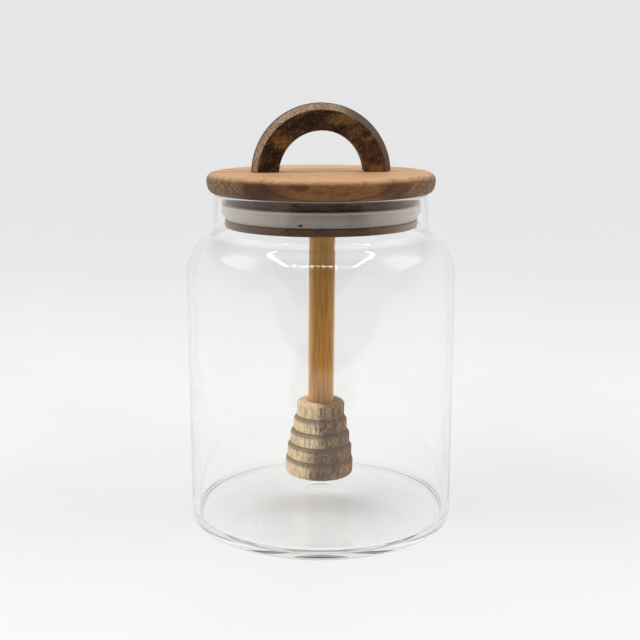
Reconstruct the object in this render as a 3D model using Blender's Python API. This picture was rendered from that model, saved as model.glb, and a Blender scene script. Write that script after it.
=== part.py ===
"""Clear glass honey pot with a wooden stopper lid and a honey dipper fixed under the lid.

Metres, +Z up. The origin is the centre of the pot's underside, on the surface that it stands on.
The arch handle spans the X axis, and the pot is seen from the -Y side.
"""

from math import acos, asin, cos, degrees, pi, radians, sin, tan

import bmesh
import bpy

# Clearance left between pieces that touch or are glued together.
GAP = 0.0003

# Glass pot.
BODY_RADIUS = 0.0500
NECK_RADIUS = 0.0397
WALL = 0.0024
NECK_WALL = 0.0019
RIM_HEIGHT = 0.1237
NECK_FOOT_HEIGHT = 0.1118
SHOULDER_RADIUS = 0.0175
NECK_FILLET = 0.0036
FLOOR_THICKNESS = 0.0030
OUTER_CORNER = 0.0012
INNER_CORNER = 0.0020
# The base is pushed up inside a flat foot ring: a hollow curve, a shallow cone and a round cap.
PUNT_RADIUS = 0.0410
PUNT_SLOPE = radians(9)
PUNT_CAP = 0.0400
PUNT_FILLET = 0.0350

# Lid: a disc with a plug under it, turned from one block.
LID_RADIUS = 0.0421
LID_THICKNESS = 0.0072
LID_TOP_ROUNDING = 0.0028
LID_UNDERCUT = 0.0021
LID_UNDERCUT_HEIGHT = 0.0043
PLUG_RADIUS = 0.0359
PLUG_HEIGHT = 0.0125
PLUG_EDGE = 0.0006
GROOVE_RADIUS = 0.0330
GROOVE_TOP_DROP = 0.0038
GROOVE_HEIGHT = 0.0062

# Silicone ring in the plug's groove. Its upper band meets the neck, and the lower band tapers in.
GASKET_BAND_HEIGHT = 0.0027
GASKET_FOOT_RADIUS = 0.0357
GASKET_ROUNDING = 0.0005

# Handle: a ring sawn off flat just above its middle, with a hand-cut chamfer along both outer edges
# that is broader over the crown than at the feet.
HANDLE_OUTER_RADIUS = 0.0257
HANDLE_INNER_RADIUS = 0.0157
HANDLE_DEPTH = 0.0074
HANDLE_SAWN_OFF = 0.0010
HANDLE_CHAMFER_AT_FEET = 0.0022
HANDLE_CHAMFER_AT_CROWN = 0.0027
HANDLE_CHAMFER_DEPTH = 0.0021

# Dipper: a bamboo stick glued into the plug, and a beehive head glued on its lower end. Both lean
# a little to -X below, the head more than the stick.
STICK_LEAN = radians(0.5)
HEAD_LEAN = radians(1.5)
STICK_TOP_OFFSET = 0.0005
STICK_RADIUS = 0.0049
STICK_IN_PLUG = 0.0080
STICK_IN_HEAD = 0.0080
STICK_EDGE = 0.0004
HEAD_BOTTOM_HEIGHT = 0.0155
HEAD_BOTTOM_ROUNDING = 0.0014
HEAD_TOP_ROUNDING = 0.0012
NOTCH_DEPTH = 0.0004
NOTCH_RISE = 0.0006
SHOULDER_RISE = 0.0016
# Radius and height of each tier, from the head's top to its bottom.
HEAD_TIERS = ((0.0091, 0.0060), (0.0102, 0.0054), (0.0114, 0.0052), (0.0124, 0.0055), (0.0130, 0.0066))

# Faces round each turned piece, and along the handle.
POT_SEGMENTS = 64
HEAD_SEGMENTS = 40
STICK_SEGMENTS = 24
HANDLE_STEPS = 30
NECK_BEND_STEPS = 3

# Heights that follow from the sizes above.
LID_BOTTOM = RIM_HEIGHT + GAP
LID_TOP = LID_BOTTOM + LID_THICKNESS
PLUG_BOTTOM = LID_BOTTOM - PLUG_HEIGHT
GROOVE_TOP = LID_BOTTOM - GROOVE_TOP_DROP
GROOVE_BOTTOM = GROOVE_TOP - GROOVE_HEIGHT
HEAD_TOP_HEIGHT = HEAD_BOTTOM_HEIGHT + sum(height for _, height in HEAD_TIERS)

SHARP_ANGLE = radians(35)
WELD_DISTANCE = 1e-6


def clear_scene():
    for old in list(bpy.data.objects):
        bpy.data.objects.remove(old)


def material(name, colour, roughness, transmission=0.0):
    """A Principled surface with one colour, and none of it metallic."""
    made = bpy.data.materials.new(name)
    made.use_nodes = True
    shader = made.node_tree.nodes["Principled BSDF"]
    shader.inputs["Base Color"].default_value = (*colour, 1.0)
    shader.inputs["Roughness"].default_value = roughness
    shader.inputs["Metallic"].default_value = 0.0
    shader.inputs["Transmission Weight"].default_value = transmission
    return made


def arc(centre, radius, start, end, steps, rise=None):
    """Points from one angle to another, in degrees, on a circle in the radius and height plane.

    A rise other than the radius makes it an ellipse that is as high as the rise."""
    rise = rise or radius
    turns = [radians(start + (end - start) * step / steps) for step in range(steps + 1)]
    return [(centre[0] + radius * cos(turn), centre[1] + rise * sin(turn)) for turn in turns]


def new_object(name, shape, surface):
    """Makes a named, smooth-shaded object from a bmesh."""
    bmesh.ops.recalc_face_normals(shape, faces=shape.faces)
    mesh = bpy.data.meshes.new(name)
    shape.to_mesh(mesh)
    shape.free()
    mesh.materials.append(surface)
    mesh.shade_smooth()
    mesh.set_sharp_from_angle(angle=SHARP_ANGLE)
    made = bpy.data.objects.new(name, mesh)
    bpy.context.scene.collection.objects.link(made)
    return made


def turned(name, outline, segments, surface, ring=False):
    """Spins an outline of (radius, height) points round Z. A ring's outline closes on itself."""
    shape = bmesh.new()
    points = [shape.verts.new((radius, 0.0, height)) for radius, height in outline]
    edges = [shape.edges.new(pair) for pair in zip(points, points[1:])]
    if ring:
        edges.append(shape.edges.new((points[-1], points[0])))
    bmesh.ops.spin(
        shape,
        geom=points + edges,
        axis=(0.0, 0.0, 1.0),
        cent=(0.0, 0.0, 0.0),
        angle=radians(360),
        steps=segments,
        use_merge=True,
    )
    bmesh.ops.remove_doubles(shape, verts=shape.verts, dist=WELD_DISTANCE)
    return new_object(name, shape, surface)


def dome(foot):
    """The pushed-up middle of the base, from its top down to the foot ring's height."""
    slope = degrees(PUNT_SLOPE)
    curve = arc((PUNT_RADIUS, foot + PUNT_FILLET), PUNT_FILLET, 270 - slope, 270, 3)
    cap_low = curve[0][1] + (curve[0][0] - PUNT_CAP * sin(PUNT_SLOPE)) * tan(PUNT_SLOPE)
    cap = arc((0.0, cap_low - PUNT_CAP * cos(PUNT_SLOPE)), PUNT_CAP, 90, 90 - slope, 2)
    return cap + curve


def neck_bend(centre, bend):
    """The inner face where the neck's thinner wall runs out into the shoulder's."""
    points = []
    for step in range(NECK_BEND_STEPS + 1):
        share = step / NECK_BEND_STEPS
        radius = NECK_FILLET + NECK_WALL + (WALL - NECK_WALL) * share
        points += arc(centre, radius, 180 + bend * share, 180, 1)[:1]
    return points


def pot_outline():
    """The pot's wall: up the outside from the middle of the underside, and down the inside."""
    shoulder_centre_radius = BODY_RADIUS - SHOULDER_RADIUS
    fillet_centre_radius = NECK_RADIUS + NECK_FILLET
    between = SHOULDER_RADIUS + NECK_FILLET
    bend = degrees(acos((fillet_centre_radius - shoulder_centre_radius) / between))
    fillet_centre = (fillet_centre_radius, NECK_FOOT_HEIGHT)
    shoulder_centre = (shoulder_centre_radius, NECK_FOOT_HEIGHT - between * sin(radians(bend)))
    lip = NECK_WALL / 2
    inner_corner_centre = (BODY_RADIUS - WALL - INNER_CORNER, FLOOR_THICKNESS + INNER_CORNER)
    return [
        *dome(0.0),
        *arc((BODY_RADIUS - OUTER_CORNER, OUTER_CORNER), OUTER_CORNER, -90, 0, 4),
        *arc(shoulder_centre, SHOULDER_RADIUS, 0, bend, 6),
        *arc(fillet_centre, NECK_FILLET, 180 + bend, 180, 3)[1:],
        *arc((NECK_RADIUS - lip, RIM_HEIGHT - lip), lip, 0, 180, 4),
        *neck_bend(fillet_centre, bend),
        *arc(shoulder_centre, SHOULDER_RADIUS - WALL, bend, 0, 6)[1:],
        *arc(inner_corner_centre, INNER_CORNER, 0, -90, 3),
        *reversed(dome(FLOOR_THICKNESS)),
    ]


def lid_outline():
    """The lid from the middle of its top, round the disc's edge, and down the plug."""
    top_centre = (LID_RADIUS - LID_TOP_ROUNDING, LID_TOP - LID_TOP_ROUNDING)
    undercut_centre = (LID_RADIUS - LID_UNDERCUT, LID_BOTTOM + LID_UNDERCUT_HEIGHT)
    return [
        (0.0, LID_TOP),
        *arc(top_centre, LID_TOP_ROUNDING, 90, 0, 4),
        *arc(undercut_centre, LID_UNDERCUT, 0, -90, 5, rise=LID_UNDERCUT_HEIGHT),
        (PLUG_RADIUS, LID_BOTTOM),
        (PLUG_RADIUS, GROOVE_TOP),
        (GROOVE_RADIUS, GROOVE_TOP),
        (GROOVE_RADIUS, GROOVE_BOTTOM),
        (PLUG_RADIUS, GROOVE_BOTTOM),
        (PLUG_RADIUS, PLUG_BOTTOM + PLUG_EDGE),
        (PLUG_RADIUS - PLUG_EDGE, PLUG_BOTTOM),
        (0.0, PLUG_BOTTOM),
    ]


def gasket_outline():
    """The silicone ring's section: a rounded upper band that meets the neck, and a taper under it."""
    inner = GROOVE_RADIUS + GAP
    outer = NECK_RADIUS - NECK_WALL - GAP
    top = GROOVE_TOP - GAP
    bottom = GROOVE_BOTTOM + GAP
    band_bottom = top - GASKET_BAND_HEIGHT
    top_corner = (outer - GASKET_ROUNDING, top - GASKET_ROUNDING)
    return [
        (inner, top),
        *arc(top_corner, GASKET_ROUNDING, 90, 0, 2),
        (outer, band_bottom),
        (GASKET_FOOT_RADIUS, bottom),
        (inner, bottom),
    ]


def head_outline():
    """The beehive head: tiers that widen downwards, with a notch above each and a rounded shoulder."""
    first_radius = HEAD_TIERS[0][0]
    hole_radius = STICK_RADIUS + GAP
    hole_bottom = HEAD_TOP_HEIGHT - STICK_IN_HEAD - GAP
    outline = [(0.0, hole_bottom), (hole_radius, hole_bottom), (hole_radius, HEAD_TOP_HEIGHT)]
    top_corner = (first_radius - HEAD_TOP_ROUNDING, HEAD_TOP_HEIGHT - HEAD_TOP_ROUNDING)
    outline += arc(top_corner, HEAD_TOP_ROUNDING, 90, 0, 2)
    tier_top = HEAD_TOP_HEIGHT
    for (radius, height), (next_radius, _) in zip(HEAD_TIERS, HEAD_TIERS[1:]):
        tier_top -= height
        outline += [
            (radius, tier_top + NOTCH_RISE),
            (radius - NOTCH_DEPTH, tier_top),
            (next_radius - NOTCH_DEPTH, tier_top - SHOULDER_RISE / 2),
            (next_radius, tier_top - SHOULDER_RISE),
        ]
    bottom_corner = (HEAD_TIERS[-1][0] - HEAD_BOTTOM_ROUNDING, HEAD_BOTTOM_HEIGHT + HEAD_BOTTOM_ROUNDING)
    outline += arc(bottom_corner, HEAD_BOTTOM_ROUNDING, 0, -90, 3)
    return [*outline, (0.0, HEAD_BOTTOM_HEIGHT)]


def stick_outline():
    """The round stick, from its end inside the plug to its end inside the head."""
    top = PLUG_BOTTOM + STICK_IN_PLUG
    bottom = HEAD_TOP_HEIGHT - STICK_IN_HEAD
    return [
        (0.0, top),
        (STICK_RADIUS - STICK_EDGE, top),
        (STICK_RADIUS, top - STICK_EDGE),
        (STICK_RADIUS, bottom + STICK_EDGE),
        (STICK_RADIUS - STICK_EDGE, bottom),
        (0.0, bottom),
    ]


def drill_outline():
    """The hole that the stick's upper end is glued into, open below the plug."""
    radius = STICK_RADIUS + GAP
    top = PLUG_BOTTOM + STICK_IN_PLUG + GAP
    bottom = PLUG_BOTTOM - STICK_IN_PLUG
    return [(0.0, top), (radius, top), (radius, bottom), (0.0, bottom)]


def arch_section(share):
    """The handle's section at a share of the way over, as (radius, depth) points."""
    half = HANDLE_DEPTH / 2
    crown_extra = HANDLE_CHAMFER_AT_CROWN - HANDLE_CHAMFER_AT_FEET
    face_radius = HANDLE_OUTER_RADIUS - HANDLE_CHAMFER_AT_FEET - crown_extra * sin(pi * share)
    return [
        (HANDLE_INNER_RADIUS, -half),
        (face_radius, -half),
        (HANDLE_OUTER_RADIUS, HANDLE_CHAMFER_DEPTH - half),
        (HANDLE_OUTER_RADIUS, half - HANDLE_CHAMFER_DEPTH),
        (face_radius, half),
        (HANDLE_INNER_RADIUS, half),
    ]


def arch(name, surface):
    """The handle, from its +X foot over the top to its -X foot, with both feet flat on Z = 0."""
    shape = bmesh.new()
    loops = []
    for step in range(HANDLE_STEPS + 1):
        share = step / HANDLE_STEPS
        loop = []
        for radius, depth in arch_section(share):
            foot_angle = asin(HANDLE_SAWN_OFF / radius)
            turn = foot_angle + (pi - 2 * foot_angle) * share
            loop.append(shape.verts.new((radius * cos(turn), depth, radius * sin(turn) - HANDLE_SAWN_OFF)))
        loops.append(loop)
    shape.faces.new(loops[0])
    shape.faces.new(loops[-1])
    for near, far in zip(loops, loops[1:]):
        for corner in range(len(near)):
            shape.faces.new((near[corner - 1], near[corner], far[corner], far[corner - 1]))
    return new_object(name, shape, surface)


def cut(piece, cutter):
    """Takes the cutter's shape out of a piece, and keeps the cutter as a hidden helper."""
    cutter.hide_render = True
    cutter.display_type = "WIRE"
    hole = piece.modifiers.new("stick_hole", "BOOLEAN")
    hole.operation = "DIFFERENCE"
    hole.solver = "EXACT"
    hole.object = cutter


def leaning_axis(name, foot, lean):
    """An empty at a point on the dipper, turned so that what it carries leans to -X below."""
    axis = bpy.data.objects.new(name, None)
    bpy.context.scene.collection.objects.link(axis)
    axis.location = foot
    axis.rotation_euler = (0.0, lean, 0.0)
    return axis


def hang(piece, axis, height):
    """Parents a piece that was modelled on Z to a leaning axis that holds it at this height."""
    piece.parent = axis
    piece.location = (0.0, 0.0, -height)


def build():
    clear_scene()
    clear_glass = material("clear_glass", (0.95, 0.98, 0.97), 0.03, transmission=1.0)
    lid_wood = material("lid_wood", (0.36, 0.20, 0.10), 0.45)
    handle_wood = material("handle_wood", (0.13, 0.07, 0.035), 0.5)
    head_wood = material("head_wood", (0.44, 0.28, 0.15), 0.6)
    bamboo = material("bamboo", (0.52, 0.31, 0.11), 0.5)
    silicone = material("silicone", (0.55, 0.52, 0.48), 0.35)

    turned("pot_glass", pot_outline(), POT_SEGMENTS, clear_glass)
    lid = turned("lid_with_plug", lid_outline(), POT_SEGMENTS, lid_wood)
    turned("gasket_ring", gasket_outline(), POT_SEGMENTS, silicone, ring=True)

    handle = arch("arch_handle", handle_wood)
    handle.location.z = LID_TOP + GAP

    stick_axis = leaning_axis("stick_axis", (STICK_TOP_OFFSET, 0.0, PLUG_BOTTOM), STICK_LEAN)
    hang(turned("dipper_stick", stick_outline(), STICK_SEGMENTS, bamboo), stick_axis, PLUG_BOTTOM)

    drop = PLUG_BOTTOM - HEAD_TOP_HEIGHT
    head_top = (STICK_TOP_OFFSET - drop * tan(STICK_LEAN), 0.0, HEAD_TOP_HEIGHT)
    head_axis = leaning_axis("head_axis", head_top, HEAD_LEAN)
    hang(turned("dipper_head", head_outline(), HEAD_SEGMENTS, head_wood), head_axis, HEAD_TOP_HEIGHT)

    drill = turned("stick_drill", drill_outline(), STICK_SEGMENTS, lid_wood)
    hang(drill, stick_axis, PLUG_BOTTOM)
    cut(lid, drill)


build()
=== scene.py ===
"""Looks of the clear glass honey pot, with its wooden stopper lid and the honey dipper under it.

Metres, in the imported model's frame: +Z up, the arch handle spans X, and the camera stands on the -Y side.
Textures work in millimetres.
"""

from math import acos, asin, cos, degrees, pi, radians, sin, tan

import bmesh
import bpy
from mathutils import Euler, Matrix, Vector


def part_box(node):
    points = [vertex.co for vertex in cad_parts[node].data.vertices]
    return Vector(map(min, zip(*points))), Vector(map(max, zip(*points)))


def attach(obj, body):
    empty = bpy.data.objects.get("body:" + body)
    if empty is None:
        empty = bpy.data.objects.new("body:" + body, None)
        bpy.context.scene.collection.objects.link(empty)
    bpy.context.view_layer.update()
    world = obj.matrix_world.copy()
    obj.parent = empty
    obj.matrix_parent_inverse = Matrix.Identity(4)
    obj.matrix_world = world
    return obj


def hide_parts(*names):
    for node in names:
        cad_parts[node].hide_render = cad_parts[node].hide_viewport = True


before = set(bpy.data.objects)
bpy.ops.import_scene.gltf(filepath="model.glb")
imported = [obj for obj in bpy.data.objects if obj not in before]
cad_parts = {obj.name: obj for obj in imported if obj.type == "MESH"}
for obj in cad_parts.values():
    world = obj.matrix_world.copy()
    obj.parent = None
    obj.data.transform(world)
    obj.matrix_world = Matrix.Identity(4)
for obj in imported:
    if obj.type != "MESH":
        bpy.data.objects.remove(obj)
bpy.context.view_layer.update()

# The photograph's frame and the camera that was fitted to it.
IMAGE_SIZE = 640
FOCAL_PIXELS = 1074.7
SENSOR_WIDTH = 36.0
CAMERA_DISTANCE = 0.3985
CAMERA_SIDE = -0.0004
CAMERA_HEIGHT = 0.1596
CAMERA_PITCH = radians(11.94)
# The handle is turned a little out of the picture plane, so the camera stands that much to -X.
HANDLE_YAW = radians(6)

# Glass.
NECK_RADIUS = 0.0397
WALL = 0.0024
NECK_WALL = 0.0019
NECK_FOOT_HEIGHT = 0.1118
SHOULDER_RADIUS = 0.0175
NECK_FILLET = 0.0036
FLOOR_THICKNESS = 0.0030
OUTER_CORNER = 0.0012
INNER_CORNER = 0.0020
PUNT_RADIUS = 0.0410
PUNT_SLOPE = radians(9)
PUNT_CAP = 0.0400
PUNT_FILLET = 0.0350

# Lid and plug.
LID_TOP_ROUNDING = 0.0028
LID_UNDERCUT = 0.0021
LID_UNDERCUT_HEIGHT = 0.0043
LID_THICKNESS = 0.0072
PLUG_RADIUS = 0.0359
PLUG_EDGE = 0.0006
GROOVE_RADIUS = 0.0330
GROOVE_TOP_DROP = 0.0038
GROOVE_HEIGHT = 0.0062
EDGE = 0.0003

# Silicone ring.
GASKET_BAND_HEIGHT = 0.0027
GASKET_FOOT_RADIUS = 0.0357
GASKET_ROUNDING = 0.0006

# Handle.
HANDLE_INNER_RADIUS = 0.0157
HANDLE_SAWN_OFF = 0.0010
HANDLE_CHAMFER_AT_FEET = 0.0022
HANDLE_CHAMFER_AT_CROWN = 0.0027
HANDLE_CHAMFER_DEPTH = 0.0021
HANDLE_ROUNDING = 0.0004

# Dipper.
GAP = 0.0003
STICK_LEAN = radians(0.5)
HEAD_LEAN = radians(1.5)
STICK_TOP_OFFSET = 0.0005
STICK_RADIUS = 0.0049
STICK_IN_PLUG = 0.0080
STICK_IN_HEAD = 0.0080
STICK_EDGE = 0.0004
HEAD_BOTTOM_HEIGHT = 0.0155
HEAD_BOTTOM_ROUNDING = 0.0014
HEAD_TOP_ROUNDING = 0.0012
NOTCH_DEPTH = 0.0004
NOTCH_RISE = 0.0006
SHOULDER_RISE = 0.0016
HEAD_TIERS = ((0.0091, 0.0060), (0.0102, 0.0054), (0.0114, 0.0052), (0.0124, 0.0055), (0.0130, 0.0066))

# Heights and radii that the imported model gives.
POT_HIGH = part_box("pot_glass")[1]
LID_LOW, LID_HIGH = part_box("lid_with_plug")
HANDLE_LOW, HANDLE_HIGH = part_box("arch_handle")
BODY_RADIUS = POT_HIGH.x
RIM_HEIGHT = POT_HIGH.z
LID_RADIUS = LID_HIGH.x
LID_TOP = LID_HIGH.z
LID_BOTTOM = LID_TOP - LID_THICKNESS
PLUG_BOTTOM = LID_LOW.z
GROOVE_TOP = LID_BOTTOM - GROOVE_TOP_DROP
GROOVE_BOTTOM = GROOVE_TOP - GROOVE_HEIGHT
HANDLE_OUTER_RADIUS = HANDLE_HIGH.x
HANDLE_DEPTH = HANDLE_HIGH.y - HANDLE_LOW.y
HEAD_TOP_HEIGHT = HEAD_BOTTOM_HEIGHT + sum(height for _, height in HEAD_TIERS)

# Faces round the turned pieces, and along the handle.
GLASS_SEGMENTS = 256
LID_SEGMENTS = 192
HEAD_SEGMENTS = 160
STICK_SEGMENTS = 72
HANDLE_STEPS = 120

# Steps along the curves of the outlines.
SHOULDER_STEPS = 32
INNER_SHOULDER_STEPS = 28
ROUND_STEPS = 14
CURVE_STEPS = 12
TIER_STEPS = 8
BAND_STEPS = 6
NOTCH_STEPS = 5
BEVEL_STEPS = 4
EDGE_STEPS = 3

# A point this near to the axis is on it, and an edge that turns by more degrees than this is sharp.
ON_AXIS = 1e-7
SHARP_ANGLE = 35

MILLIMETRES = 1000.0
# Light that has turned more often than this inside the glass comes out as an even edge glow.
TRAPPED_DEPTH = 3.5


# Shapes

def arc(centre, radius, start, end, steps, rise=None):
    """Points from one angle to another, in degrees, on a circle or an ellipse."""
    rise = rise or radius
    turns = [radians(start + (end - start) * step / steps) for step in range(steps + 1)]
    return [(centre[0] + radius * cos(turn), centre[1] + rise * sin(turn)) for turn in turns]


def new_piece(name, shape, material):
    """Makes a smooth-shaded piece from a bmesh."""
    bmesh.ops.recalc_face_normals(shape, faces=shape.faces)
    mesh = bpy.data.meshes.new(name)
    shape.to_mesh(mesh)
    shape.free()
    mesh.materials.append(material)
    mesh.shade_smooth()
    mesh.set_sharp_from_angle(angle=radians(SHARP_ANGLE))
    piece = bpy.data.objects.new(name, mesh)
    bpy.context.scene.collection.objects.link(piece)
    return piece


def turned(name, outline, segments, material, ring=False, shift=None):
    """Turns an outline of (radius, height) points round Z.

    A ring's outline closes on itself. Shift gives how far to +X a point's circle lies."""
    shape = bmesh.new()
    loops = []
    for radius, height in outline:
        offset = shift(radius, height) if shift else 0.0
        if radius < ON_AXIS:
            loops.append([shape.verts.new((offset, 0.0, height))])
            continue
        turns = [2 * pi * step / segments for step in range(segments)]
        loops.append([shape.verts.new((offset + radius * cos(t), radius * sin(t), height)) for t in turns])
    pairs = list(zip(loops, loops[1:]))
    if ring:
        pairs.append((loops[-1], loops[0]))
    for upper, lower in pairs:
        for step in range(segments):
            after = (step + 1) % segments
            corners = [upper[step % len(upper)], upper[after % len(upper)]]
            corners += [lower[after % len(lower)], lower[step % len(lower)]]
            shape.faces.new(list(dict.fromkeys(corners)))
    return new_piece(name, shape, material)


def dome(foot):
    """The pushed-up middle of the base, down to its foot: a round cap, a cone and a hollow curve."""
    slope = degrees(PUNT_SLOPE)
    curve = arc((PUNT_RADIUS, foot + PUNT_FILLET), PUNT_FILLET, 270 - slope, 270, CURVE_STEPS)
    cap_low = curve[0][1] + (curve[0][0] - PUNT_CAP * sin(PUNT_SLOPE)) * tan(PUNT_SLOPE)
    cap = arc((0.0, cap_low - PUNT_CAP * cos(PUNT_SLOPE)), PUNT_CAP, 90, 90 - slope, CURVE_STEPS)
    return cap + curve


def neck_bend(centre, bend):
    """The inner face where the neck's thinner wall runs out into the shoulder's."""
    points = []
    for step in range(ROUND_STEPS + 1):
        share = step / ROUND_STEPS
        radius = NECK_FILLET + NECK_WALL + (WALL - NECK_WALL) * share
        points += arc(centre, radius, 180 + bend * share, 180, 1)[:1]
    return points


def glass_outline():
    """The pot's wall: up the outside from the middle of the underside, and down the inside."""
    shoulder_centre_radius = BODY_RADIUS - SHOULDER_RADIUS
    fillet_centre_radius = NECK_RADIUS + NECK_FILLET
    between = SHOULDER_RADIUS + NECK_FILLET
    bend = degrees(acos((fillet_centre_radius - shoulder_centre_radius) / between))
    fillet_centre = (fillet_centre_radius, NECK_FOOT_HEIGHT)
    shoulder_centre = (shoulder_centre_radius, NECK_FOOT_HEIGHT - between * sin(radians(bend)))
    lip = NECK_WALL / 2
    inner_corner_centre = (BODY_RADIUS - WALL - INNER_CORNER, FLOOR_THICKNESS + INNER_CORNER)
    return [
        *dome(0.0),
        *arc((BODY_RADIUS - OUTER_CORNER, OUTER_CORNER), OUTER_CORNER, -90, 0, ROUND_STEPS),
        *arc(shoulder_centre, SHOULDER_RADIUS, 0, bend, SHOULDER_STEPS),
        *arc(fillet_centre, NECK_FILLET, 180 + bend, 180, CURVE_STEPS)[1:],
        *arc((NECK_RADIUS - lip, RIM_HEIGHT - lip), lip, 0, 180, ROUND_STEPS),
        *neck_bend(fillet_centre, bend),
        *arc(shoulder_centre, SHOULDER_RADIUS - WALL, bend, 0, INNER_SHOULDER_STEPS)[1:],
        *arc(inner_corner_centre, INNER_CORNER, 0, -90, CURVE_STEPS),
        *reversed(dome(FLOOR_THICKNESS)),
    ]


def stick_centre(height):
    """How far to +X the stick's axis lies at a height."""
    return STICK_TOP_OFFSET - (PLUG_BOTTOM - height) * tan(STICK_LEAN)


def lid_outline():
    """The lid from the middle of its top, round the edge, down the plug and up its drilled hole."""
    top_centre = (LID_RADIUS - LID_TOP_ROUNDING, LID_TOP - LID_TOP_ROUNDING)
    undercut_centre = (LID_RADIUS - LID_UNDERCUT, LID_BOTTOM + LID_UNDERCUT_HEIGHT)
    hole = STICK_RADIUS + GAP
    hole_top = PLUG_BOTTOM + STICK_IN_PLUG + GAP
    return [
        (0.0, LID_TOP),
        *arc(top_centre, LID_TOP_ROUNDING, 90, 0, ROUND_STEPS),
        *arc(undercut_centre, LID_UNDERCUT, 0, -90, ROUND_STEPS, rise=LID_UNDERCUT_HEIGHT),
        (PLUG_RADIUS, LID_BOTTOM),
        *arc((PLUG_RADIUS - EDGE, GROOVE_TOP + EDGE), EDGE, 0, -90, EDGE_STEPS),
        (GROOVE_RADIUS, GROOVE_TOP),
        (GROOVE_RADIUS, GROOVE_BOTTOM),
        *arc((PLUG_RADIUS - EDGE, GROOVE_BOTTOM - EDGE), EDGE, 90, 0, EDGE_STEPS),
        *arc((PLUG_RADIUS - PLUG_EDGE, PLUG_BOTTOM + PLUG_EDGE), PLUG_EDGE, 0, -90, BEVEL_STEPS),
        *arc((hole + EDGE, PLUG_BOTTOM + EDGE), EDGE, -90, -180, EDGE_STEPS),
        (hole, hole_top),
        (0.0, hole_top),
    ]


def lid_shift(radius, height):
    """Only the drilled hole is off the lid's axis."""
    return stick_centre(height) if height < LID_BOTTOM and radius < 2 * STICK_RADIUS else 0.0


def gasket_outline():
    """A thick upper band that meets the neck, and a lower band that tapers in."""
    inner = GROOVE_RADIUS + GAP
    outer = NECK_RADIUS - NECK_WALL - GAP
    top = GROOVE_TOP - GAP
    bottom = GROOVE_BOTTOM + GAP
    band_bottom = top - GASKET_BAND_HEIGHT
    rounding = GASKET_ROUNDING
    return [
        (inner, top),
        *arc((outer - rounding, top - rounding), rounding, 90, 0, BAND_STEPS),
        *arc((outer - rounding, band_bottom + rounding / 2), rounding, 0, -45, BEVEL_STEPS),
        *arc((GASKET_FOOT_RADIUS - EDGE, bottom + EDGE), EDGE, -45, -90, EDGE_STEPS),
        (inner, bottom),
    ]


def head_outline():
    """The beehive head, from the bottom of its hole: tiers that widen down, each with a round shoulder."""
    first_radius = HEAD_TIERS[0][0]
    hole_radius = STICK_RADIUS + GAP
    hole_bottom = HEAD_TOP_HEIGHT - STICK_IN_HEAD - GAP
    outline = [(0.0, hole_bottom), (hole_radius, hole_bottom)]
    outline += arc((hole_radius + EDGE, HEAD_TOP_HEIGHT - EDGE), EDGE, 180, 90, EDGE_STEPS)
    top_corner = (first_radius - HEAD_TOP_ROUNDING, HEAD_TOP_HEIGHT - HEAD_TOP_ROUNDING)
    outline += arc(top_corner, HEAD_TOP_ROUNDING, 90, 0, TIER_STEPS)
    tier_top = HEAD_TOP_HEIGHT
    for (radius, height), (next_radius, _) in zip(HEAD_TIERS, HEAD_TIERS[1:]):
        tier_top -= height
        notch = radius - NOTCH_DEPTH
        outline += arc((notch, tier_top + NOTCH_RISE), NOTCH_DEPTH, 0, -90, NOTCH_STEPS, rise=NOTCH_RISE)
        width = next_radius - notch
        shoulder = arc((notch, tier_top - SHOULDER_RISE), width, 90, 0, TIER_STEPS, rise=SHOULDER_RISE)
        outline += shoulder[1:]
    bottom_corner = (HEAD_TIERS[-1][0] - HEAD_BOTTOM_ROUNDING, HEAD_BOTTOM_HEIGHT + HEAD_BOTTOM_ROUNDING)
    outline += arc(bottom_corner, HEAD_BOTTOM_ROUNDING, 0, -90, TIER_STEPS)
    return [*outline, (0.0, HEAD_BOTTOM_HEIGHT)]


def stick_outline():
    """The round stick, from its end inside the plug to its end inside the head."""
    top = PLUG_BOTTOM + STICK_IN_PLUG
    bottom = HEAD_TOP_HEIGHT - STICK_IN_HEAD
    rim = STICK_RADIUS - STICK_EDGE
    return [
        (0.0, top),
        *arc((rim, top - STICK_EDGE), STICK_EDGE, 90, 0, EDGE_STEPS),
        *arc((rim, bottom + STICK_EDGE), STICK_EDGE, 0, -90, EDGE_STEPS),
        (0.0, bottom),
    ]


def rounded(corners, radius):
    """A closed outline with each corner replaced by a short curve."""
    made = []
    for before, corner, after in zip(corners[-1:] + corners, corners, corners[1:] + corners[:1]):
        at = Vector(corner)
        back = (Vector(before) - at).normalized() * radius
        on = (Vector(after) - at).normalized() * radius
        for step in range(EDGE_STEPS + 1):
            share = step / EDGE_STEPS
            made.append(tuple(at + back * (1 - share) ** 2 + on * share ** 2))
    return made


def arch_section(share):
    """The handle's section at a share of the way over, as (radius, depth) points."""
    half = HANDLE_DEPTH / 2
    crown_extra = HANDLE_CHAMFER_AT_CROWN - HANDLE_CHAMFER_AT_FEET
    face_radius = HANDLE_OUTER_RADIUS - HANDLE_CHAMFER_AT_FEET - crown_extra * sin(pi * share)
    corners = [
        (HANDLE_INNER_RADIUS, -half),
        (face_radius, -half),
        (HANDLE_OUTER_RADIUS, HANDLE_CHAMFER_DEPTH - half),
        (HANDLE_OUTER_RADIUS, half - HANDLE_CHAMFER_DEPTH),
        (face_radius, half),
        (HANDLE_INNER_RADIUS, half),
    ]
    return rounded(corners, HANDLE_ROUNDING)


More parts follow.
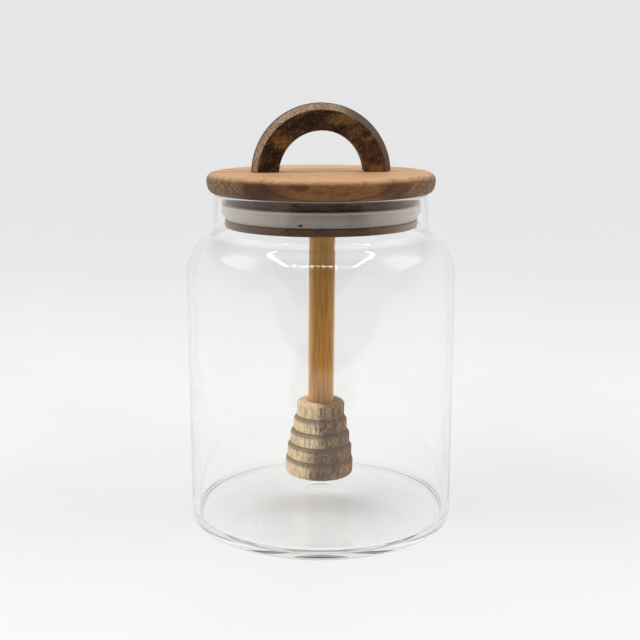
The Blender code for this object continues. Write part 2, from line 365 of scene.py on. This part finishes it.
def handle_piece(material):
    """The arch, from its +X foot over the top to its -X foot."""
    shape = bmesh.new()
    loops = []
    for step in range(HANDLE_STEPS + 1):
        share = step / HANDLE_STEPS
        loop = []
        for radius, depth in arch_section(share):
            foot_angle = asin(HANDLE_SAWN_OFF / radius)
            turn = foot_angle + (pi - 2 * foot_angle) * share
            height = HANDLE_LOW.z + radius * sin(turn) - HANDLE_SAWN_OFF
            loop.append(shape.verts.new((radius * cos(turn), depth, height)))
        loops.append(loop)
    shape.faces.new(loops[0])
    shape.faces.new(loops[-1])
    for near, far in zip(loops, loops[1:]):
        for corner in range(len(near)):
            shape.faces.new((near[corner - 1], near[corner], far[corner], far[corner - 1]))
    return new_piece("handle", shape, material)


def lean(piece, foot, angle):
    """Leans a piece that was modelled on Z about a point on its axis, so that it goes to -X below."""
    tilt = Euler((0.0, angle, 0.0)).to_matrix().to_4x4()
    piece.matrix_world = Matrix.Translation(foot) @ tilt @ Matrix.Translation((0, 0, -foot[2]))


# Materials

# A blot fades from full to nothing between these shares of its size.
BLOT_FULL = 0.6
BLOT_END = 1.4


def linear(red, green, blue):
    """The shader's values for a colour given as it looks on a screen, from 0 to 255."""
    shares = [value / 255 for value in (red, green, blue)]
    return (*[s / 12.92 if s <= 0.04045 else ((s + 0.055) / 1.055) ** 2.4 for s in shares], 1.0)


class Nodes:
    """A node tree, built one call at a time."""

    def __init__(self, tree):
        self.tree = tree

    def put(self, node, key, value):
        """Links or sets one input."""
        socket = node.inputs[key]
        if isinstance(value, bpy.types.NodeSocket):
            self.tree.links.new(value, socket)
        else:
            socket.default_value = value

    def add(self, kind, inputs, **settings):
        """Adds a node, and returns it."""
        node = self.tree.nodes.new("ShaderNode" + kind)
        for key, value in settings.items():
            setattr(node, key, value)
        for key, value in inputs.items():
            self.put(node, key, value)
        return node

    def place(self, scale=(1, 1, 1), turn=0.0):
        """The piece's own coordinates in millimetres, turned about Y and then stretched."""
        source = self.add("TexCoord", {}).outputs["Object"]
        inputs = {"Vector": source, "Scale": (MILLIMETRES,) * 3, "Rotation": (0.0, turn, 0.0)}
        return self.vector("MULTIPLY", self.add("Mapping", inputs).outputs["Vector"], scale)

    def axes(self, vector):
        """X, Y and Z of a vector."""
        return self.add("SeparateXYZ", {0: vector}).outputs

    def path(self):
        """What is known of the ray that meets the surface."""
        return self.add("LightPath", {}).outputs

    def noise(self, vector, scale, detail=3.0, roughness=0.5, distortion=0.0, colour=False):
        """Noise in three dimensions, as a factor or a colour."""
        inputs = {"Vector": vector, "Scale": scale, "Detail": detail}
        node = self.add("TexNoise", {**inputs, "Roughness": roughness, "Distortion": distortion})
        return node.outputs["Color" if colour else "Fac"]

    def noise_along(self, value, scale, detail, roughness=0.5):
        """Noise that changes along one value only."""
        inputs = {"W": value, "Scale": scale, "Detail": detail, "Roughness": roughness}
        return self.add("TexNoise", inputs, noise_dimensions="1D").outputs["Fac"]

    def math(self, operation, first, second=0.0):
        """One value from one or two."""
        return self.add("Math", {0: first, 1: second}, operation=operation).outputs[0]

    def plus(self, first, second):
        """Two values, added."""
        return self.math("ADD", first, second)

    def times(self, first, second):
        """Two factors, or a factor and a strength, multiplied."""
        return self.math("MULTIPLY", first, second)

    def vector(self, operation, first, second):
        """One vector from two."""
        return self.add("VectorMath", {0: first, 1: second}, operation=operation).outputs["Vector"]

    def dot(self, first, second):
        """How far two directions agree."""
        return self.add("VectorMath", {0: first, 1: second}, operation="DOT_PRODUCT").outputs["Value"]

    def length(self, vector):
        """How long a vector is."""
        return self.add("VectorMath", {0: vector}, operation="LENGTH").outputs["Value"]

    def between(self, value, low, high, out_low=0.0, out_high=1.0):
        """Maps low to high onto a smooth step from out_low to out_high."""
        inputs = {"Value": value, "From Min": low, "From Max": high, "To Min": out_low, "To Max": out_high}
        return self.add("MapRange", inputs, interpolation_type="SMOOTHSTEP").outputs["Result"]

    def window(self, value, low, rise, fall, high):
        """1 from rise to fall, 0 below low and above high."""
        return self.times(self.between(value, low, rise), self.between(value, high, fall))

    def mix(self, factor, first, second):
        """From the first colour to the second as the factor goes from 0 to 1."""
        return self.add("Mix", {0: factor, 6: first, 7: second}, data_type="RGBA").outputs[2]

    def ramp(self, factor, stops):
        """A colour ramp from (place, colour) stops."""
        node = self.add("ValToRGB", {"Fac": factor})
        elements = node.color_ramp.elements
        while len(elements) < len(stops):
            elements.new(0.5)
        for element, (place, colour) in zip(elements, stops):
            element.position = place
            element.color = colour
        return node.outputs["Color"]

    def bump(self, height, distance):
        """A normal that follows a height, at half strength. Distance is in millimetres."""
        inputs = {"Height": height, "Distance": distance / MILLIMETRES, "Strength": 0.5}
        return self.add("Bump", inputs).outputs["Normal"]

    def blot(self, vector, centre, size, raggedness, scale):
        """A ragged soft-edged patch: 1 in its middle and 0 outside. Centre and size are in millimetres."""
        inverse = [1 / value for value in size]
        moved = self.vector("SUBTRACT", vector, centre)
        unit = self.vector("MULTIPLY", moved, inverse)
        ragged = self.times(self.noise(vector, scale, 4.0, 0.6), raggedness)
        away = self.plus(self.length(unit), self.math("SUBTRACT", ragged, raggedness / 2))
        return self.between(away, BLOT_END, BLOT_FULL)


class Surface(Nodes):
    """A material's nodes, with its shader."""

    def __init__(self, name, settings):
        self.material = bpy.data.materials.new(name)
        self.material.use_nodes = True
        super().__init__(self.material.node_tree)
        self.shader = self.tree.nodes["Principled BSDF"]
        for key, value in settings.items():
            self.put(self.shader, key, value)

    def finish(self, links):
        """Links the shader's inputs, and returns the material."""
        for key, value in links.items():
            self.put(self.shader, key, value)
        return self.material


def seen(x, y, z):
    """A place in millimetres that is given across and away from the camera, in the model's frame."""
    return tuple(Matrix.Rotation(-HANDLE_YAW, 3, "Z") @ Vector((x, y, z)))


PORE = linear(62, 40, 24)

# The log that the lid was cut from: where its pith runs, and how far its rings wander, in millimetres.
LOG_PITH = (0.0, 30.0, 66.0)
LOG_WARP = 12.0
# Heights of the short fades into the lid's top, painted paler as a highlight, and into its plug, painted dark
# as darker wood and painted shade.
LID_PAINTED_TOP_FADE = (129.2, 131.0)
PLUG_WOOD_AND_SHADE_FADE = (124.2, 123.5)
# The handle's grain slants by this much, and its face lies this far in front of its middle.
HANDLE_SLANT = radians(32)
HANDLE_FACE = -3.7


def lid_rings(surface, plain):
    """The warped distance from the pith of the lid's log."""
    wander = surface.noise(surface.place((0.2, 1.0, 1.0)), 0.035, 2.0, 0.5, colour=True)
    centred = surface.vector("SUBTRACT", wander, (0.5, 0.5, 0.5))
    warped = surface.vector("ADD", plain, surface.vector("MULTIPLY", centred, (LOG_WARP,) * 3))
    from_pith = surface.vector("SUBTRACT", warped, LOG_PITH)
    return surface.length(surface.vector("MULTIPLY", from_pith, (0.0, 1.0, 1.0)))


def pores(surface, stretch, scale, low, high):
    """Short dark dashes along the grain, 1 inside a pore."""
    return surface.between(surface.noise(surface.place(stretch), scale, 2.0, 0.45), low, high)


def lid_wood():
    """Streaked brown hardwood, with sawn ends towards both sides, a top painted paler as a highlight, and a
    plug painted dark as darker wood and painted shade, with painted side light towards its ends.
    """
    surface = Surface("lid_wood_grain", {"Specular IOR Level": 0.25})
    plain = surface.place()
    where = surface.axes(plain)
    bands = surface.noise_along(lid_rings(surface, plain), 0.5, 5.0, 0.62)
    streaks = surface.noise(surface.place((0.07, 1.0, 1.0)), 1.5, 4.0, 0.6)
    speckle = surface.noise(plain, 1.5, 2.0, 0.6)
    side = surface.ramp(bands, (
        (0.28, linear(86, 50, 23)),
        (0.42, linear(124, 78, 37)),
        (0.53, linear(147, 100, 56)),
        (0.64, linear(124, 80, 42)),
        (0.76, linear(94, 58, 30)),
    ))
    side = surface.mix(surface.between(streaks, 0.55, 0.72, 0.0, 0.55), side, linear(74, 44, 22))
    side = surface.mix(surface.between(speckle, 0.44, 0.34, 0.0, 0.5), side, linear(62, 38, 22))
    # Sawn ends: speckled, and more grey.
    ends = surface.ramp(speckle, (
        (0.34, linear(60, 40, 26)),
        (0.46, linear(104, 80, 54)),
        (0.56, linear(141, 113, 80)),
        (0.68, linear(178, 150, 112)),
    ))
    ends = surface.mix(surface.between(bands, 0.62, 0.40, 0.0, 0.55), ends, linear(92, 62, 38))
    ragged = surface.noise(plain, 0.25, 3.0, 0.6)
    reach = surface.plus(surface.math("ABSOLUTE", where["X"]), surface.times(ragged, 14.0))
    side = surface.mix(surface.between(reach, 29.0, 41.0, 0.0, 0.9), side, ends)
    # Dark heartwood patches, and a knot in the side nearest the camera.
    for centre, size, strength in (
        (seen(-21.5, -37, 127), (5.0, 12, 7), 0.7),
        (seen(-19.5, -37, 126), (9.0, 12, 6), 0.5),
        (seen(-7.3, -42, 129.3), (3.5, 5, 1.8), 0.7),
        (seen(25.5, -34, 128), (5.5, 9, 7), 0.6),
        (seen(5.0, 42, 127), (14.0, 9, 7), 0.7),
    ):
        patch = surface.blot(plain, centre, size, 0.9, 0.3)
        side = surface.mix(surface.times(patch, strength), side, linear(66, 42, 32))
    # Painted highlight: the top is a paler copy of the side's rings, standing in for the sheen it shows at a
    # grazing view.
    top = surface.ramp(bands, (
        (0.28, linear(164, 116, 76)),
        (0.42, linear(186, 140, 96)),
        (0.53, linear(204, 162, 118)),
        (0.64, linear(190, 144, 100)),
        (0.76, linear(172, 124, 82)),
    ))
    top = surface.mix(surface.between(streaks, 0.48, 0.68, 0.0, 0.55), top, linear(152, 106, 70))
    base = surface.mix(surface.between(where["Z"], *LID_PAINTED_TOP_FADE), side, top)
    # The plug is darker wood, painted darker still as shade under the lid.
    plug = surface.mix(surface.between(streaks, 0.4, 0.7), linear(98, 62, 37), linear(62, 36, 19))
    # Painted side light: the plug is paler towards both ends.
    plug = surface.mix(surface.between(where["X"], -27.0, -38.0, 0.0, 0.45), plug, linear(150, 118, 90))
    plug = surface.mix(surface.between(where["X"], 12.0, 34.0, 0.0, 0.8), plug, linear(156, 123, 94))
    base = surface.mix(surface.between(where["Z"], *PLUG_WOOD_AND_SHADE_FADE), base, plug)
    dashes = pores(surface, (0.1, 1.0, 1.0), 2.6, 0.6, 0.7)
    base = surface.mix(surface.times(dashes, 0.6), base, PORE)
    height = surface.math("SUBTRACT", streaks, surface.times(dashes, 0.8))
    return surface.finish({
        "Base Color": base,
        "Roughness": surface.between(streaks, 0.3, 0.7, 0.45, 0.62),
        "Normal": surface.bump(height, 0.12),
    })


def handle_wood():
    """Dark brown hardwood with slanting clouds, and chamfers painted pale: cut grain and a painted highlight.
    """
    surface = Surface("handle_wood_grain", {"Specular IOR Level": 0.3})
    plain = surface.place()
    where = surface.axes(plain)
    clouds = surface.noise(surface.place((0.4, 1.0, 1.0), HANDLE_SLANT), 0.22, 8.0, 0.72, 0.8)
    base = surface.ramp(clouds, (
        (0.34, linear(26, 15, 9)),
        (0.44, linear(52, 32, 19)),
        (0.54, linear(82, 52, 30)),
        (0.63, linear(130, 94, 52)),
        (0.74, linear(92, 62, 36)),
    ))
    streaks = surface.noise(surface.place((0.35, 1.0, 1.0), HANDLE_SLANT), 1.1, 4.0, 0.65)
    streaky = surface.between(streaks, 0.35, 0.62, 0.95, 0.35)
    # Pale and dark patches, as X, Z, half width, half height and colour.
    for x, z, width, height, colour in (
        (-13.6, 141.9, 3.8, 2.6, (138, 98, 52)),
        (7.4, 150.0, 5.0, 2.0, (140, 104, 52)),
        (-23.0, 139.5, 1.8, 4.0, (128, 96, 56)),
        (-10.5, 148.0, 8.5, 1.8, (28, 16, 10)),
        (-19.0, 135.5, 4.0, 6.0, (22, 12, 7)),
        (-18.5, 137.0, 2.6, 3.5, (24, 13, 8)),
    ):
        patch = surface.blot(plain, (x, HANDLE_FACE, z), (width, 9, height), 1.2, 0.45)
        base = surface.mix(surface.times(patch, streaky), base, linear(*colour))
    speckle = surface.noise(plain, 2.0, 3.0, 0.6)
    base = surface.mix(surface.between(speckle, 0.56, 0.72, 0.0, 0.6), base, linear(170, 132, 82))
    base = surface.mix(surface.between(speckle, 0.46, 0.32, 0.0, 0.75), base, linear(24, 15, 10))
    # The hand-cut chamfers are painted paler: partly for their cut fibres, and partly as a painted highlight
    # where the light from above catches them.
    centre = (0.0, 0.0, (HANDLE_LOW.z - HANDLE_SAWN_OFF) * MILLIMETRES)
    from_centre = surface.vector("SUBTRACT", plain, centre)
    radius = surface.length(surface.vector("MULTIPLY", from_centre, (1.0, 0.0, 1.0)))
    rim = HANDLE_OUTER_RADIUS * MILLIMETRES
    half = HANDLE_DEPTH * MILLIMETRES / 2
    near_rim = surface.window(radius, rim - 5.0, rim - 3.0, rim - 0.35, rim - 0.15)
    off_face = surface.between(surface.math("ABSOLUTE", where["Y"]), half - 0.1, half - 0.3)
    pale = surface.ramp(speckle, (
        (0.32, linear(92, 68, 50)),
        (0.50, linear(164, 137, 110)),
        (0.68, linear(214, 190, 160)),
    ))
    pale = surface.mix(surface.between(where["X"], 3.0, 13.0, 0.0, 0.9), pale, linear(84, 62, 50))
    chamfer_grain_and_highlight = surface.times(surface.times(near_rim, off_face), surface.between(clouds, 0.62, 0.46, 0.5, 0.95))
    return surface.finish({
        "Base Color": surface.mix(chamfer_grain_and_highlight, base, pale),
        "Roughness": surface.between(speckle, 0.3, 0.7, 0.5, 0.65),
        "Normal": surface.bump(speckle, 0.1),
    })


def bamboo():
    """Yellow-brown bamboo with fine straight fibres."""
    surface = Surface("bamboo_fibres", {
        "Specular IOR Level": 0.5,
        "Sheen Weight": 1.0,
        "Sheen Roughness": 0.3,
        "Sheen Tint": linear(255, 228, 176),
    })
    where = surface.axes(surface.place())
    fine = surface.noise(surface.place((1.0, 1.0, 0.02)), 3.4, 4.0, 0.65)
    broad = surface.noise(surface.place((1.0, 1.0, 0.03)), 0.8, 2.0, 0.5)
    base = surface.ramp(broad, (
        (0.35, linear(184, 122, 32)),
        (0.50, linear(202, 142, 46)),
        (0.66, linear(176, 114, 28)),
    ))
    base = surface.mix(surface.between(fine, 0.5, 0.62, 0.0, 0.65), base, linear(118, 70, 18))
    base = surface.mix(surface.between(fine, 0.42, 0.30, 0.0, 0.4), base, linear(230, 180, 92))
    # Painted light: paler near the lid, where it makes up for the lid's shade, and painted highlights along
    # both sides.
    base = surface.mix(surface.between(where["Z"], 84.0, 108.0, 0.0, 0.4), base, linear(244, 192, 108))
    outward = surface.math("ABSOLUTE", where["X"])
    base = surface.mix(surface.between(outward, 3.4, 4.9, 0.0, 0.35), base, linear(255, 220, 160))
    return surface.finish({
        "Base Color": base,
        "Roughness": surface.between(fine, 0.3, 0.7, 0.32, 0.46),
        "Normal": surface.bump(fine, 0.08),
    })


def head_wood():
    """Hardwood that is half pale and half dark, with short dark pores and painted shade in the grooves
    between tiers.
    """
    surface = Surface("head_wood_grain", {"Specular IOR Level": 0.25})
    plain = surface.place()
    where = surface.axes(plain)
    # Pale sapwood to -X and dark heartwood to +X, which reaches further over in the two lower tiers.
    ragged = surface.noise(surface.place((1.0, 1.0, 0.55)), 0.8, 5.0, 0.7)
    edge = surface.plus(where["X"], surface.between(where["Z"], 28.4, 26.8, 1.1, 5.2))
    edge = surface.plus(edge, surface.times(surface.math("SUBTRACT", ragged, 0.5), 9.0))
    slow = surface.noise(surface.place((1.0, 1.0, 0.3)), 0.4, 3.0, 0.6)
    light = surface.ramp(slow, ((0.3, linear(250, 226, 182)), (0.7, linear(236, 202, 152))))
    dark = surface.ramp(slow, (
        (0.32, linear(80, 51, 27)),
        (0.50, linear(132, 90, 49)),
        (0.68, linear(176, 129, 70)),
    ))
    base = surface.mix(surface.between(edge, -2.0, 2.0), light, dark)
    # Dark mottling right of the middle, in the middle tiers most.
    mottled = surface.noise(surface.place((1.0, 1.0, 0.6)), 1.3, 5.0, 0.75)
    across = surface.window(where["X"], -3.5, 0.0, 5.0, 11.0)
    reach = surface.times(across, surface.window(where["Z"], 14.0, 22.0, 36.0, 42.0))
    mottling = surface.times(surface.between(mottled, 0.42, 0.56, 0.95, 0.05), reach)
    base = surface.mix(mottling, base, linear(54, 35, 22))
    fibres = surface.noise(surface.place((1.0, 1.0, 0.1)), 2.0, 4.0, 0.65)
    base = surface.mix(surface.between(fibres, 0.5, 0.66, 0.0, 0.6), base, linear(96, 64, 38))
    base = surface.mix(surface.between(fibres, 0.46, 0.34, 0.0, 0.35), base, linear(236, 200, 150))
    speckle = surface.noise(plain, 1.8, 2.0, 0.6)
    base = surface.mix(surface.between(speckle, 0.55, 0.70, 0.0, 0.35), base, linear(226, 190, 140))
    base = surface.mix(surface.between(speckle, 0.44, 0.32, 0.0, 0.6), base, linear(78, 52, 34))
    # Painted shade in the grooves where one tier meets the next, where the lid keeps the light from above off
    # the shoulders.
    tier_top = HEAD_TOP_HEIGHT
    for _, height in HEAD_TIERS[:-1]:
        tier_top -= height
        at = tier_top * MILLIMETRES
        groove_shade = surface.window(where["Z"], at - 1.9, at - 0.5, at + 0.1, at + 0.7)
        base = surface.mix(surface.times(groove_shade, 0.7), base, linear(88, 62, 40))
    dashes = pores(surface, (1.0, 1.0, 0.13), 2.5, 0.54, 0.64)
    strength = surface.between(edge, -5.0, 1.0, 0.2, 0.9)
    return surface.finish({
        "Base Color": surface.mix(surface.times(dashes, strength), base, PORE),
        "Roughness": surface.between(fibres, 0.3, 0.7, 0.6, 0.75),
        "Normal": surface.bump(surface.math("SUBTRACT", fibres, dashes), 0.15),
    })


def silicone():
    """Milky silicone, painted paler towards both ends as side light, with a paler upper lip, and one dark
    crumb on it.
    """
    surface = Surface("silicone", {"Subsurface Weight": 0.5, "Subsurface Scale": 0.004})
    plain = surface.place()
    where = surface.axes(plain)
    cloudy = surface.noise(plain, 0.12, 3.0, 0.5)
    base = surface.ramp(cloudy, ((0.35, linear(150, 140, 130)), (0.65, linear(170, 160, 150))))
    # Painted side light: paler towards both ends.
    outward = surface.math("ABSOLUTE", where["X"])
    base = surface.mix(surface.between(outward, 8.0, 26.0, 0.0, 0.5), base, linear(216, 205, 192))
    top = (GROOVE_TOP - GAP) * MILLIMETRES
    lip = surface.between(where["Z"], top - 0.9, top - 0.3, 0.0, 0.8)
    base = surface.mix(lip, base, linear(220, 210, 198))
    crumb = surface.blot(plain, seen(-6.9, -35.6, 115.5), (0.85, 2.5, 0.5), 0.9, 1.6)
    return surface.finish({
        "Base Color": surface.mix(crumb, base, linear(22, 18, 16)),
        "Roughness": surface.between(cloudy, 0.3, 0.7, 0.28, 0.4),
    })


def grey(value, green=0.0):
    """A neutral shader colour, with a little more green."""
    return (value, value + green, value, 1.0)


def edge_glow(surface, where):
    """The colour of light that stays trapped in the glass."""
    # Thin lines round the foot: dark beside the front and at the back, where they mirror the dark room.
    lines = surface.noise_along(where["Z"], 1.1, 2.0)
    beside = surface.window(surface.math("ABSOLUTE", where["X"]), 15.0, 24.0, 45.0, 50.5)
    foot = surface.mix(beside, grey(0.46, 0.01), grey(0.09))
    foot = surface.mix(surface.between(where["Y"], 10.0, 30.0), foot, grey(0.08))
    foot = surface.mix(surface.between(lines, 0.42, 0.52), foot, (0.80, 0.81, 0.79, 1.0))
    above = surface.mix(surface.between(where["Z"], 98.0, 106.0), grey(0.32, 0.01), grey(0.66, 0.01))
    return surface.mix(surface.between(where["Z"], 3.2, 6.0), foot, above)


def clear_glass():
    """Clear glass that refracts what is seen through it, and lets lamps and soft light straight through."""
    surface = Surface("clear_glass", {"Transmission Weight": 1.0, "IOR": 1.47, "Roughness": 0.0})
    plain = surface.place()
    slow = surface.noise(plain, 0.05, 1.0, 0.4)
    tint = surface.ramp(slow, ((0.3, (0.990, 0.995, 0.991, 1.0)), (0.7, (0.993, 0.997, 0.994, 1.0))))
    for centre, size in ((seen(-23.6, -25.7, 3.5), 0.45), (seen(42.2, -17.6, 3.0), 0.5)):
        speck = surface.blot(plain, centre, (size, size, 0.6), 0.6, 2.0)
        tint = surface.mix(surface.times(speck, 0.7), tint, (0.12, 0.10, 0.09, 1.0))
    surface.finish({"Base Color": tint, "Normal": surface.bump(slow, 0.02)})
    path = surface.path()
    soft = surface.math("MAXIMUM", path["Is Shadow Ray"], path["Is Diffuse Ray"])
    straight = surface.add("BsdfTransparent", {"Color": (0.995, 0.997, 0.996, 1.0)}).outputs[0]
    glass = surface.add("MixShader", {0: soft, 1: surface.shader.outputs[0], 2: straight}).outputs[0]
    trapped = surface.math("GREATER_THAN", path["Glossy Depth"], TRAPPED_DEPTH)
    glow = surface.add("Emission", {"Color": edge_glow(surface, surface.axes(plain))}).outputs[0]
    mixed = surface.add("MixShader", {0: trapped, 1: glass, 2: glow}).outputs[0]
    surface.put(surface.tree.nodes["Material Output"], "Surface", mixed)
    surface.material.cycles.emission_sampling = "NONE"
    return surface.material


# Stage

FLOOR_RADIUS = 0.27
TENT_RADIUS = 0.80
TENT_HEIGHT = 0.50
AIR_GAP = 0.0001
TENT_SEGMENTS = 128
SWEEP_STEPS = 40
# The floor turns into glowing wall between these heights, in millimetres.
WALL_FADE = (0.5, 50.0)
WALL_GLOW = 0.69
CEILING_GLOW = 1.12
# From this height up, in millimetres, the wall fades to the ceiling that the glass mirrors.
UPPER_FADE = 300.0
# The share of the ceiling that the glass mirrors.
CEILING_MIRRORED = 0.3
# The room behind the camera is dark: the pale paper ends this far in front of the pot.
PAPER_FRONT = 0.30
PAPER_EDGE = 12.0
FRONT_GLOW = 0.03
CEILING_FRONT = 0.10
# The wall brightens between these places along Y in millimetres, and the ceiling between these directions.
ROOM_FADE = (-350.0, 100.0)
CEILING_FADE = (-0.75, 0.1)
# Soft lamps at both sides: where they are, their brightness, and the angles at which they fade out.
LAMP_AZIMUTH = 95
LAMP_ELEVATION = 36
LAMP_GLOW = 1.3
LAMP_EDGE = (radians(24), radians(9))
# Corners of the lamp overhead, as metres to the right of the camera and away from it.
RING_CORNERS = (
    (0.0, -0.89),
    (0.36, -0.89),
    (0.70, -0.80),
    (0.70, -0.30),
    (0.73, 0.06),
    (0.48, 0.34),
    (0.31, 0.45),
    (0.0, 0.44),
)
RING_HEIGHT = 1.5
RING_WIDTH = 0.045
# Each bar fills this part of its length, which is about RING_DASH.
RING_DASH = 0.12
RING_FILL = (0.24, 0.76)
RING_GLOW = 40.0
SOFTBOX_AZIMUTH = 64
SOFTBOX_ELEVATION = 35
SOFTBOX_DISTANCE = 1.2
SOFTBOX_WIDTH = 1.2
LEFT_POWER = 11.5
RIGHT_POWER = 9.5
AIM_HEIGHT = 0.08


def pale_when_seen(surface, bright, unseen):
    """Bright where it is looked at, directly or through glass, and unseen's level as a source of light."""
    path = surface.path()
    through = surface.times(path["Is Transmission Ray"], surface.math("LESS_THAN", path["Glossy Depth"], 0.5))
    looked_at = surface.math("MAXIMUM", path["Is Camera Ray"], through)
    return surface.add("Mix", {0: looked_at, 2: unseen, 3: bright}, data_type="FLOAT").outputs[0]


def tent():
    """A seamless pale floor that sweeps up all round into a wall, which glows a little."""
    surface = Surface("tent", {"Roughness": 0.9, "Specular IOR Level": 0.1})
    where = surface.axes(surface.place())
    rise = surface.between(where["Z"], *WALL_FADE)
    paper = surface.noise(surface.place(), 0.01, 2.0, 0.5)
    pale = surface.ramp(paper, ((0.3, grey(0.75)), (0.7, grey(0.77))))
    front = -PAPER_FRONT * MILLIMETRES
    on_paper = surface.between(where["Y"], front - PAPER_EDGE, front + PAPER_EDGE)
    pale = surface.mix(pale_when_seen(surface, 1.0, on_paper), grey(0.03), pale)
    behind = surface.between(where["Y"], *ROOM_FADE, FRONT_GLOW, WALL_GLOW)
    upper = CEILING_MIRRORED * CEILING_GLOW / WALL_GLOW
    fading = surface.between(where["Z"], UPPER_FADE, TENT_HEIGHT * MILLIMETRES, 1.0, upper)
    glow = pale_when_seen(surface, WALL_GLOW, surface.times(behind, fading))
    material = surface.finish({
        "Base Color": surface.mix(rise, pale, grey(0.1)),
        "Emission Color": grey(1.0),
        "Emission Strength": surface.times(rise, glow),
    })
    sweep = TENT_RADIUS - FLOOR_RADIUS
    outline = [(0.0, -AIR_GAP), (FLOOR_RADIUS / 2, -AIR_GAP)]
    outline += arc((FLOOR_RADIUS, sweep - AIR_GAP), sweep, -90, 0, SWEEP_STEPS)
    outline += [(TENT_RADIUS, TENT_HEIGHT)]
    piece = turned("tent_floor", outline, TENT_SEGMENTS, material)


def toward(azimuth, elevation):
    """A direction, as across, away and up. Azimuth 0 is the camera's side."""
    turn = radians(azimuth)
    up = radians(elevation)
    return (sin(turn) * cos(up), -cos(turn) * cos(up), sin(up))


def world_light():
    """A white ceiling that is dim on the camera's side, with a soft bright patch at each side."""
    world = bpy.data.worlds.new("studio")
    world.use_nodes = True
    sky = Nodes(world.node_tree)
    generated = sky.add("TexCoord", {}).outputs["Generated"]
    turned_back = {"Vector": generated, "Rotation": (0.0, 0.0, HANDLE_YAW)}
    direction = sky.add("Mapping", turned_back).outputs["Vector"]
    ceiling = sky.between(sky.axes(direction)["Y"], *CEILING_FADE, CEILING_FRONT, 1.0)
    dimmed = sky.between(sky.path()["Is Singular Ray"], 0.0, 1.0, 1.0, CEILING_MIRRORED)
    strength = sky.times(sky.times(ceiling, CEILING_GLOW), dimmed)
    outer, inner = (cos(angle) for angle in LAMP_EDGE)
    for side in (-1, 1):
        facing = sky.dot(direction, toward(side * LAMP_AZIMUTH, LAMP_ELEVATION))
        strength = sky.plus(strength, sky.between(facing, outer, inner, 0.0, LAMP_GLOW))
    background = world.node_tree.nodes["Background"]
    sky.put(background, "Strength", strength)
    sky.put(background, "Color", grey(1.0))
    bpy.context.scene.world = world


def ring_lamp():
    """A dashed ring of light bars overhead, which only shows as glints in the glass."""
    surface = Surface("ring_lamp", {"Roughness": 0.9, "Emission Color": (1.0, 0.99, 0.97, 1.0)})
    mirrored = surface.path()["Is Singular Ray"]
    material = surface.finish({"Emission Strength": surface.times(mirrored, RING_GLOW)})
    material.cycles.emission_sampling = "NONE"
    shape = bmesh.new()
    for start, end in zip(RING_CORNERS, RING_CORNERS[1:]):
        along = Vector(end) - Vector(start)
        count = max(1, round(along.length / RING_DASH))
        across = Vector((-along.y, along.x)).normalized() * RING_WIDTH / 2
        for dash in range(count):
            near, far = (Vector(start) + along * (dash + fill) / count for fill in RING_FILL)
            for side in (-1, 1):
                corners = (near - across, far - across, far + across, near + across)
                shape.faces.new([shape.verts.new(seen(side * c.x, c.y, RING_HEIGHT)) for c in corners])
    piece = new_piece("ring_lamp", shape, material)
    piece.visible_camera = False
    piece.visible_diffuse = False
    piece.visible_shadow = False


def softbox(name, azimuth, power):
    """A square lamp that looks at the pot, and isn't itself mirrored in it."""
    data = bpy.data.lights.new(name, "AREA")
    data.shape = "SQUARE"
    data.size = SOFTBOX_WIDTH
    data.energy = power
    lamp = bpy.data.objects.new(name, data)
    bpy.context.scene.collection.objects.link(lamp)
    away = Vector(seen(*toward(azimuth, SOFTBOX_ELEVATION)))
    lamp.location = Vector((0, 0, AIM_HEIGHT)) + away * SOFTBOX_DISTANCE
    lamp.rotation_euler = away.to_track_quat("Z", "Y").to_euler()
    lamp.visible_glossy = False
    lamp.visible_transmission = False


def camera():
    """The camera that was fitted to the photograph."""
    data = bpy.data.cameras.new("camera")
    data.sensor_width = SENSOR_WIDTH
    data.lens = FOCAL_PIXELS * SENSOR_WIDTH / IMAGE_SIZE
    made = bpy.data.objects.new("camera", data)
    bpy.context.scene.collection.objects.link(made)
    made.location = seen(CAMERA_SIDE, -CAMERA_DISTANCE, CAMERA_HEIGHT)
    made.rotation_euler = (pi / 2 - CAMERA_PITCH, 0.0, -HANDLE_YAW)
    bpy.context.scene.camera = made


def dress(piece, node):
    """The piece stands for a node: it rides the root body, and the node's own mesh is hidden."""
    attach(piece, "root")
    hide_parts(node)


def build():
    """Makes the pot, its lid and dipper, and the stage."""
    pot = turned("glass_pot", glass_outline(), GLASS_SEGMENTS, clear_glass())
    dress(pot, "pot_glass")
    lid = turned("stopper_lid", lid_outline(), LID_SEGMENTS, lid_wood(), shift=lid_shift)
    dress(lid, "lid_with_plug")
    gasket = turned("silicone_gasket", gasket_outline(), LID_SEGMENTS, silicone(), ring=True)
    dress(gasket, "gasket_ring")
    dress(handle_piece(handle_wood()), "arch_handle")

    stick = turned("bamboo_stick", stick_outline(), STICK_SEGMENTS, bamboo())
    lean(stick, (STICK_TOP_OFFSET, 0.0, PLUG_BOTTOM), STICK_LEAN)
    dress(stick, "dipper_stick")
    head = turned("dipper_beehive", head_outline(), HEAD_SEGMENTS, head_wood())
    lean(head, (stick_centre(HEAD_TOP_HEIGHT), 0.0, HEAD_TOP_HEIGHT), HEAD_LEAN)
    dress(head, "dipper_head")

    tent()
    world_light()
    ring_lamp()
    softbox("left_softbox", -SOFTBOX_AZIMUTH, LEFT_POWER)
    softbox("right_softbox", SOFTBOX_AZIMUTH, RIGHT_POWER)
    camera()
    bpy.context.scene.view_settings.view_transform = "Standard"


build()
